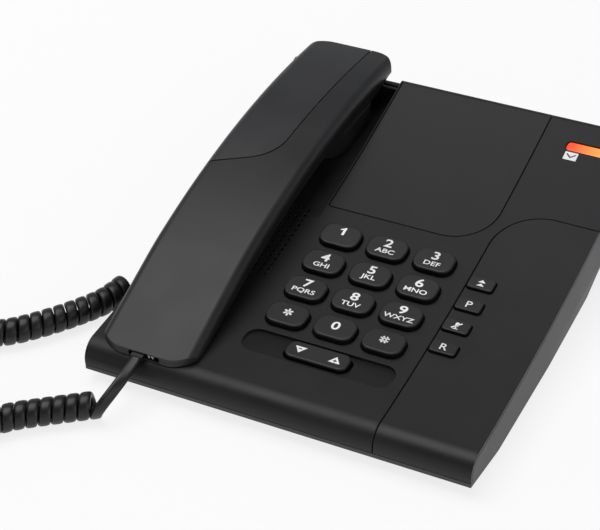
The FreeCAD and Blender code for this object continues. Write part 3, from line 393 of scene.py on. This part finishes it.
def smooth_route(controls, fineness):
    """Points of a smooth spline whose control points are a cord's route."""
    curve = bpy.data.curves.new("cord_route", "CURVE")
    curve.dimensions = "3D"
    curve.resolution_u = fineness
    spline = curve.splines.new("NURBS")
    spline.points.add(len(controls) - 1)
    for point, place in zip(spline.points, controls):
        point.co = (*place, 1.0)
    spline.order_u = 3
    spline.use_endpoint_u = True
    mesh = from_curve(curve)
    points = [vertex.co.copy() for vertex in mesh.vertices]
    bpy.data.meshes.remove(mesh)
    return points


def directions(points):
    last = len(points) - 1
    return [(points[min(i + 1, last)] - points[max(i - 1, 0)]).normalized() for i in range(last + 1)]


def curls():
    """Helix around the coil's route, with the direction of the route at each point."""
    axis = smooth_route([drawn(x, y, COIL_LIFT) for x, y in COIL_ROUTE], COIL_FINENESS)
    heading = directions(axis)
    reach = [0.0]
    for before, after in zip(axis, axis[1:]):
        reach.append(reach[-1] + (after - before).length)
    count = round(CURL_TURNS * CURL_STEPS)
    points = []
    ahead = []
    index = 0
    for step in range(count + 1):
        distance = reach[-1] * step / count
        while index < len(axis) - 2 and reach[index + 1] < distance:
            index += 1
        share = (distance - reach[index]) / (reach[index + 1] - reach[index])
        centre = axis[index].lerp(axis[index + 1], share)
        forward = heading[index].lerp(heading[index + 1], share).normalized()
        aside = Vector((-forward.y, forward.x, 0))
        angle = CURL_START - 2 * math.pi * CURL_TURNS * step / count
        out = aside * math.cos(angle) + Vector((0, 0, math.sin(angle)))
        points.append(centre + out * CURL_RADIUS * MM)
        ahead.append(forward)
    return points, ahead


def squared(wide, tangent):
    """A sideways vector made square to a direction."""
    return (wide - tangent * wide.dot(tangent)).normalized()


def carried(wide, tangents):
    """A sideways vector carried along a run of directions without twisting."""
    wides = [wide]
    for before, after in zip(tangents, tangents[1:]):
        wides.append(squared(before.rotation_difference(after) @ wides[-1], after))
    return wides


def turned_level(wides, tangents):
    """Sideways vectors of the handset's lead, turned bit by bit until its end lies level in the slot."""
    level = squared(Vector((1, 0, 0)), tangents[0])
    twist = math.atan2(wides[0].cross(level).dot(tangents[0]), wides[0].dot(level))
    twist = math.remainder(twist, math.pi)
    turned = []
    for index, (wide, tangent) in enumerate(zip(wides, tangents)):
        share = 1 - index / len(wides)
        turned.append(Matrix.Rotation(twist * share * share * (3 - 2 * share), 3, tangent) @ wide)
    return turned


def curl_sections(helix):
    """Width and thickness of the curls, almost as wide as the way to the next turn."""
    width, thickness = CURL_SECTION
    sections = []
    for index, place in enumerate(helix):
        beside = index + CURL_STEPS if index + CURL_STEPS < len(helix) else index - CURL_STEPS
        pitch = (helix[beside] - place).length / MM
        sections.append((min(width, CURL_FILL * pitch), thickness))
    return sections


def lead_sections(count, end):
    """Width and thickness of a lead, which go from its own to those of the curls."""
    sections = []
    for index in range(count):
        share = index / (count - 1)
        sections.append([own + (other - own) * share for own, other in zip(LEAD_SECTION, end)])
    return sections


def ribbon_outline():
    """Flat rounded outline that reaches one unit to each side."""
    outline = []
    for side in range(RIBBON_SIDES):
        angle = 2 * math.pi * side / RIBBON_SIDES
        parts = (math.cos(angle), math.sin(angle))
        outline.append([math.copysign(abs(part) ** RIBBON_SQUARENESS, part) for part in parts])
    return outline


def ribbon(name, points, tangents, wides, sections):
    """Closed tube with a flat rounded section."""
    work = bmesh.new()
    outline = ribbon_outline()
    rings = []
    for place, tangent, wide, (width, thickness) in zip(points, tangents, wides, sections):
        high = tangent.cross(wide)
        rings.append([
            work.verts.new(place + (wide * across * width + high * over * thickness) * MM / 2)
            for across, over in outline])
    for first, second in zip(rings, rings[1:]):
        for side in range(RIBBON_SIDES):
            after = (side + 1) % RIBBON_SIDES
            work.faces.new((first[side], first[after], second[after], second[side]))
    work.faces.new(rings[0][::-1])
    work.faces.new(rings[-1])
    bmesh.ops.recalc_face_normals(work, faces=work.faces)
    for face in work.faces:
        face.smooth = len(face.verts) == 4
    return meshed(name, work)


def handset_cord():
    helix, ahead = curls()
    helix_run = directions(helix)
    square_in = helix[0] - helix_run[0] * LEAD_SQUARE * MM
    square_out = helix[-1] + helix_run[-1] * LEAD_SQUARE * MM
    lead_in = [drawn(*place) for place in HANDSET_LEAD] + [square_in, helix[0]]
    lead_out = [helix[-1], square_out] + [drawn(*place) for place in BASE_LEAD]
    before = smooth_route(lead_in, HANDSET_LEAD_FINENESS)[:-1]
    after = smooth_route(lead_out, BASE_LEAD_FINENESS)[1:]
    points = before + helix + after
    tangents = directions(points)
    first = len(before)
    last = first + len(helix)
    middle = [squared(-forward, tangent) for forward, tangent in zip(ahead, tangents[first:last])]
    head = carried(middle[0], tangents[first::-1])[:0:-1]
    tail = carried(middle[-1], tangents[last - 1:])[1:]
    curled = curl_sections(helix)
    sections = (lead_sections(len(before), curled[0]) + curled
                + lead_sections(len(after), curled[-1])[::-1])
    wides = turned_level(head, tangents) + middle + tail
    mesh = ribbon("handset_cord", points, tangents, wides, sections)
    cord = shown("handset_cord", mesh, cord_jacket)
    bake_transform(cord)
    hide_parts("cord_lead_handset", "cord_coil", "cord_lead_base")


# Legends: thin raised ink on the keys, the rocker and the cover

INK = 0.05
INK_LIFT = 0.01
CAPITAL_SHARE = 0.7
LETTER_FINENESS = 4


def words(text, height, stretch, weight):
    """Lettering whose box is centred on the origin."""
    curve = bpy.data.curves.new("legend", "FONT")
    curve.body = text
    curve.size = height * MM / CAPITAL_SHARE
    curve.offset = weight * MM
    curve.extrude = INK * MM / 2
    curve.resolution_u = LETTER_FINENESS
    mesh = from_curve(curve)
    corners = [vertex.co for vertex in mesh.vertices]
    low = Vector(min(corner[axis] for corner in corners) for axis in range(3))
    high = Vector(max(corner[axis] for corner in corners) for axis in range(3))
    mesh.transform(Matrix.Diagonal((stretch, 1, 1, 1)) @ Matrix.Translation(-(low + high) / 2))
    return mesh


def sign(*outlines):
    """Flat sign from closed outlines, where an outline inside another is a hole."""
    curve = bpy.data.curves.new("sign", "CURVE")
    curve.dimensions = "2D"
    curve.fill_mode = "BOTH"
    curve.extrude = INK * MM / 2
    for outline in outlines:
        spline = curve.splines.new("POLY")
        spline.points.add(len(outline) - 1)
        for point, (x, y) in zip(spline.points, outline):
            point.co = (x * MM, y * MM, 0, 1)
        spline.use_cyclic_u = True
    return from_curve(curve)


def inked(name, body, place, marks):
    """Marks at their own offsets on one plane, as one piece on a body."""
    lift = Matrix.Translation((0, 0, (INK / 2 + INK_LIFT) * MM))
    for mesh, x, y in marks:
        mesh.transform(place @ lift @ Matrix.Translation((x * MM, y * MM, 0)))
    piece = shown(name, joined(name, [mark[0] for mark in marks]), legend_ink)
    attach(piece, body)


def bar(x, y, width, height):
    a = width / 2
    b = height / 2
    return [(x - a, y - b), (x + a, y - b), (x + a, y + b), (x - a, y + b)]


def plus(x, y, size, thick):
    a = size / 2
    b = thick / 2
    return [(x + dx, y + dy) for dx, dy in (
        (-a, -b), (-b, -b), (-b, -a), (b, -a), (b, -b), (a, -b),
        (a, b), (b, b), (b, a), (-b, a), (-b, b), (-a, b))]


def triangle(y, width, height):
    return [(-width / 2, y - height / 2), (width / 2, y - height / 2), (0, y + height / 2)]


# Dial key legends: lettering is given by its height, stretch and weight

KEY_LEGENDS = [("1", ""), ("2", "ABC"), ("3", "DEF"), ("4", "GHI"), ("5", "JKL"), ("6", "MNO"),
               ("7", "PQRS"), ("8", "TUV"), ("9", "WXYZ"), ("*", ""), ("0", ""), ("#", "")]
DIGIT_TYPE = (4.4, 1.25, 0.12)
DIGIT_Y = 2.2
LETTER_TYPE = (2.4, 1.3, 0.05)
LETTER_Y = -2.5
BOTTOM_ROW = "*0#"
BOTTOM_ROW_Y = 0.6
ONE_OUTLINE = [(0.0, -2.2), (1.2, -2.2), (1.2, 2.2), (0.3, 2.2),
               (-0.2, 1.6), (-1.3, 1.2), (-1.3, 0.4), (0.0, 0.8)]
STAR_ARMS = 3
STAR_ARM = bar(0.0, 0.0, 0.85, 4.2)
HASH_BARS = [bar(-0.75, 0.0, 0.75, 3.8), bar(0.75, 0.0, 0.75, 3.8),
             bar(0.0, -0.75, 3.9, 0.7), bar(0.0, 0.75, 3.9, 0.7)]


def star_arms():
    arms = []
    for arm in range(STAR_ARMS):
        turn = Matrix.Rotation(math.pi * arm / STAR_ARMS, 2)
        arms.append([tuple(turn @ Vector(corner)) for corner in STAR_ARM])
    return arms


DRAWN_SIGNS = {"1": [ONE_OUTLINE], "*": star_arms(), "#": HASH_BARS}


def key_legends():
    for index, (digit, letters) in enumerate(KEY_LEGENDS):
        row, column = divmod(index, KEY_COLUMNS)
        x = KEYPAD_X + (column - (KEY_COLUMNS - 1) / 2) * KEY_PITCH_X
        y = KEYPAD_Y + ((KEY_ROWS - 1) / 2 - row) * KEY_PITCH_Y
        if digit in DRAWN_SIGNS:
            figures = [sign(outline) for outline in DRAWN_SIGNS[digit]]
        else:
            figures = [words(digit, *DIGIT_TYPE)]
        figure_y = BOTTOM_ROW_Y if digit in BOTTOM_ROW else DIGIT_Y
        marks = [(figure, 0, figure_y) for figure in figures]
        if letters:
            marks.append((words(letters, *LETTER_TYPE), 0, LETTER_Y))
        name = KEY_NODES[index]
        inked(name + "_legend", name, on_top(x, y, KEY_PROUD), marks)


# Function key legends

SMALL_TYPE = (3.5, 1.15, 0.03)
REDIAL_TRIANGLES = [triangle(1.0, 3.4, 1.6), triangle(-1.0, 3.4, 1.6)]
MUTE_CAPSULE = [(-0.8, -0.4), (0.8, -0.4), (0.8, 1.3), (0.4, 1.8), (-0.4, 1.8), (-0.8, 1.3)]
MUTE_STEM = bar(0.0, -1.3, 0.5, 1.2)
MUTE_FOOT = bar(0.0, -1.9, 2.2, 0.45)
MUTE_SLASH = [(-2.1, -1.5), (-1.6, -1.9), (2.1, 1.5), (1.6, 1.9)]


def small_key_legends():
    legends = [
        [sign(outline) for outline in REDIAL_TRIANGLES],
        [words("P", *SMALL_TYPE)],
        [sign(outline) for outline in (MUTE_CAPSULE, MUTE_STEM, MUTE_FOOT, MUTE_SLASH)],
        [words("R", *SMALL_TYPE)],
    ]
    for index, (name, figures) in enumerate(zip(SMALL_NODES, legends)):
        place = on_top(SMALL_X, SMALL_Y - index * SMALL_PITCH, SMALL_PROUD)
        inked(name + "_legend", name, place, [(figure, 0, 0) for figure in figures])


# Signs on the rocker and beside the message lamp

LOUDER_TRIANGLE = triangle(0.0, 5.2, 3.6)
SOFTER_TRIANGLE = [(x, -y) for x, y in LOUDER_TRIANGLE]
LOUDER_PLUS = plus(0.0, -0.6, 1.7, 0.5)
SOFTER_MINUS = bar(0.0, 0.6, 1.7, 0.5)
ROCKER_SIGN_X = 8.0
MESSAGE_PLACE = (58.9, 176.3)
MESSAGE_PLATE = [(-3.0, -2.2), (3.0, -2.2), (3.0, 2.4), (-3.0, 2.4)]
MESSAGE_FOLD = [(-2.2, 1.7), (0.0, -0.2), (2.2, 1.7), (2.2, 0.9), (0.0, -1.1), (-2.2, 0.9)]


def rocker_legend():
    softer = sign(SOFTER_TRIANGLE, SOFTER_MINUS)
    louder = sign(LOUDER_TRIANGLE, LOUDER_PLUS)
    place = on_top(KEYPAD_X, ROCKER_Y, ROCKER_PROUD)
    inked("volume_rocker_legend", "volume_rocker", place,
          [(softer, -ROCKER_SIGN_X, 0), (louder, ROCKER_SIGN_X, 0)])


def message_sign():
    envelope = sign(MESSAGE_PLATE, MESSAGE_FOLD)
    inked("message_sign", "base", on_top(*MESSAGE_PLACE, 0), [(envelope, 0, 0)])


# Contact wires in the line socket, made by a node tree that repeats one bent wire

WIRE_COUNT = 4
WIRE_PITCH = 1.27
WIRE_RADIUS = 0.25
WIRE_BEND = (0.0, -3.0, -0.6)
WIRE_TIP = (0.0, -8.2, -4.4)
WIRE_FINENESS = 8
SOCKET_X = 40.0
SOCKET_Y = 195.0
SOCKET_Z = 29.5


def contact_tree():
    tree = bpy.data.node_groups.new("contact_wires", "GeometryNodeTree")
    tree.interface.new_socket("Geometry", in_out="OUTPUT", socket_type="NodeSocketGeometry")
    count = tree.interface.new_socket("Wires", in_out="INPUT", socket_type="NodeSocketInt")
    pitch = tree.interface.new_socket("Pitch", in_out="INPUT", socket_type="NodeSocketFloat")
    radius = tree.interface.new_socket("Wire radius", in_out="INPUT", socket_type="NodeSocketFloat")
    add = tree.nodes.new
    link = tree.links.new
    inputs = add("NodeGroupInput")
    outputs = add("NodeGroupOutput")
    row = add("GeometryNodeMeshLine")
    offset = add("ShaderNodeCombineXYZ")
    link(inputs.outputs["Wires"], row.inputs["Count"])
    link(inputs.outputs["Pitch"], offset.inputs["X"])
    link(offset.outputs["Vector"], row.inputs["Offset"])
    wire = add("GeometryNodeCurveQuadraticBezier")
    wire.inputs["Resolution"].default_value = WIRE_FINENESS
    wire.inputs["Start"].default_value = (0, 0, 0)
    wire.inputs["Middle"].default_value = Vector(WIRE_BEND) * MM
    wire.inputs["End"].default_value = Vector(WIRE_TIP) * MM
    circle = add("GeometryNodeCurvePrimitiveCircle")
    circle.inputs["Resolution"].default_value = WIRE_FINENESS
    link(inputs.outputs["Wire radius"], circle.inputs["Radius"])
    sweep = add("GeometryNodeCurveToMesh")
    sweep.inputs["Fill Caps"].default_value = True
    link(wire.outputs["Curve"], sweep.inputs["Curve"])
    link(circle.outputs["Curve"], sweep.inputs["Profile Curve"])
    repeat = add("GeometryNodeInstanceOnPoints")
    link(row.outputs["Mesh"], repeat.inputs["Points"])
    link(sweep.outputs["Mesh"], repeat.inputs["Instance"])
    real = add("GeometryNodeRealizeInstances")
    link(repeat.outputs["Instances"], real.inputs["Geometry"])
    paint = add("GeometryNodeSetMaterial")
    paint.inputs["Material"].default_value = contact_gold
    link(real.outputs["Geometry"], paint.inputs["Geometry"])
    link(paint.outputs["Geometry"], outputs.inputs["Geometry"])
    return tree, count.identifier, pitch.identifier, radius.identifier


def socket_contacts():
    tree, count, pitch, radius = contact_tree()
    holder = bpy.data.objects.new("contact_holder", bpy.data.meshes.new("contact_holder"))
    scene.collection.objects.link(holder)
    repeat = holder.modifiers.new("wires", "NODES")
    repeat.node_group = tree
    repeat[count] = WIRE_COUNT
    repeat[pitch] = WIRE_PITCH * MM
    repeat[radius] = WIRE_RADIUS * MM
    shape = holder.evaluated_get(bpy.context.evaluated_depsgraph_get())
    mesh = bpy.data.meshes.new_from_object(shape)
    bpy.data.objects.remove(holder)
    first_x = SOCKET_X - (WIRE_COUNT - 1) / 2 * WIRE_PITCH
    mesh.transform(Matrix.Translation(drawn(first_x, SOCKET_Y, SOCKET_Z)))
    piece = shown("socket_contacts", mesh, contact_gold)
    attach(piece, "base")


# Painted glints on the handset plug's latch: two light bars in the slot beside the lead

GLINT_X = (-57.0, -55.4)
GLINT_Y = 4.6
GLINT_Z = 18.7
GLINT_SIZE = (0.45, 0.8, 1.5)
GLINT_LEAN = math.radians(-24.0)


def painted_latch_glints():
    work = bmesh.new()
    for x in GLINT_X:
        place = Matrix.Translation(drawn(x, GLINT_Y, GLINT_Z)) @ Matrix.Rotation(GLINT_LEAN, 4, "Y")
        bmesh.ops.create_cube(work, size=MM, matrix=place @ Matrix.Diagonal((*GLINT_SIZE, 1)))
    piece = shown("painted_latch_glints", meshed("painted_latch_glints", work), painted_glint_plastic)
    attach(piece, "handset")


# Floor

FLOOR_HALF = 12.0
FLOOR_DROP = 0.0002
FLOOR_BLOTCH = 400.0
FLOOR_TONES = ((0.92, 0.92, 0.92), (0.94, 0.94, 0.94))
FLOOR_ROUGHNESS = 0.9
FLOOR_GLOSS = 0.1
FLOOR_WHITE = 0.8


def pure_white(tree, shader):
    """Share of plain white in the floor, for the camera and the object's sheen alone."""
    rays = tree.nodes.new("ShaderNodeLightPath")
    seen = rays.outputs["Is Camera Ray"]
    for name in ("Is Glossy Ray", "Is Transmission Ray"):
        either = tree.nodes.new("ShaderNodeMath")
        either.operation = "MAXIMUM"
        tree.links.new(seen, either.inputs[0])
        tree.links.new(rays.outputs[name], either.inputs[1])
        seen = either.outputs["Value"]
    share = tree.nodes.new("ShaderNodeMath")
    share.operation = "MULTIPLY"
    share.inputs[1].default_value = FLOOR_WHITE
    tree.links.new(seen, share.inputs[0])
    white = tree.nodes.new("ShaderNodeEmission")
    white.inputs["Strength"].default_value = 1.0
    both = tree.nodes.new("ShaderNodeMixShader")
    tree.links.new(share.outputs["Value"], both.inputs["Fac"])
    tree.links.new(shader.outputs["BSDF"], both.inputs[1])
    tree.links.new(white.outputs["Emission"], both.inputs[2])
    tree.links.new(both.outputs["Shader"], tree.nodes["Material Output"].inputs["Surface"])


def floor_paper():
    finish, tree, shader = new_finish("floor_paper")
    place = tree.nodes.new("ShaderNodeTexCoord")
    tone = ramp(tree, noise(tree, place, FLOOR_BLOTCH, GRAIN_DETAIL), *FLOOR_TONES)
    tree.links.new(tone.outputs["Color"], shader.inputs["Base Color"])
    shader.inputs["Roughness"].default_value = FLOOR_ROUGHNESS
    shader.inputs["Specular IOR Level"].default_value = FLOOR_GLOSS
    pure_white(tree, shader)
    return finish


def studio_floor():
    mesh = bpy.data.meshes.new("studio_floor")
    corners = [(x, y, 0) for x, y in bar(0, 0, 2 * FLOOR_HALF, 2 * FLOOR_HALF)]
    mesh.from_pydata(corners, [], [(0, 1, 2, 3)])
    mesh.materials.append(floor_paper())
    floor = bpy.data.objects.new("studio_floor", mesh)
    floor.location.z = -FLOOR_DROP
    scene.collection.objects.link(floor)


# Light

AIR_LOW = (0.62, 0.63, 0.64)
AIR_MIDDLE = (0.13, 0.132, 0.135)
AIR_HIGH = (0.3, 0.304, 0.31)
AIR_BAND = (0.3, 0.52)
AIR_CEILING = 0.85


def studio_air():
    """Pale walls low down, darker above them, and a ceiling."""
    world = bpy.data.worlds.new("studio_air")
    world.use_nodes = True
    tree = world.node_tree
    place = tree.nodes.new("ShaderNodeTexCoord")
    split = tree.nodes.new("ShaderNodeSeparateXYZ")
    tree.links.new(place.outputs["Generated"], split.inputs["Vector"])
    tone = ramp(tree, split.outputs["Z"], AIR_LOW, AIR_MIDDLE, AIR_BAND)
    ceiling = tone.color_ramp.elements.new(AIR_CEILING)
    ceiling.color = (*AIR_HIGH, 1)
    air = tree.nodes["Background"]
    tree.links.new(tone.outputs["Color"], air.inputs["Color"])
    air.inputs["Strength"].default_value = 1.0
    scene.world = world


def soft_box(name, place, target, size, power):
    """Square lamp that looks at a target, with its size in metres and its power in watts."""
    lamp = bpy.data.lights.new(name, "AREA")
    lamp.shape = "SQUARE"
    lamp.size = size
    lamp.energy = power
    box = bpy.data.objects.new(name, lamp)
    box.location = place
    box.rotation_euler = (Vector(target) - Vector(place)).to_track_quat("-Z", "Y").to_euler()
    scene.collection.objects.link(box)


photo_camera()
handset_cord()
key_legends()
small_key_legends()
rocker_legend()
message_sign()
socket_contacts()
painted_latch_glints()
studio_floor()
studio_air()
soft_box("soft_box_top", place=(-0.45, 0.0, 1.5), target=(-0.3, 0.0, 0.0), size=1.3, power=17.0)
soft_box("soft_box_right", place=(1.2, -0.5, 0.7), target=(0.0, 0.0, 0.02), size=0.9, power=2.8)
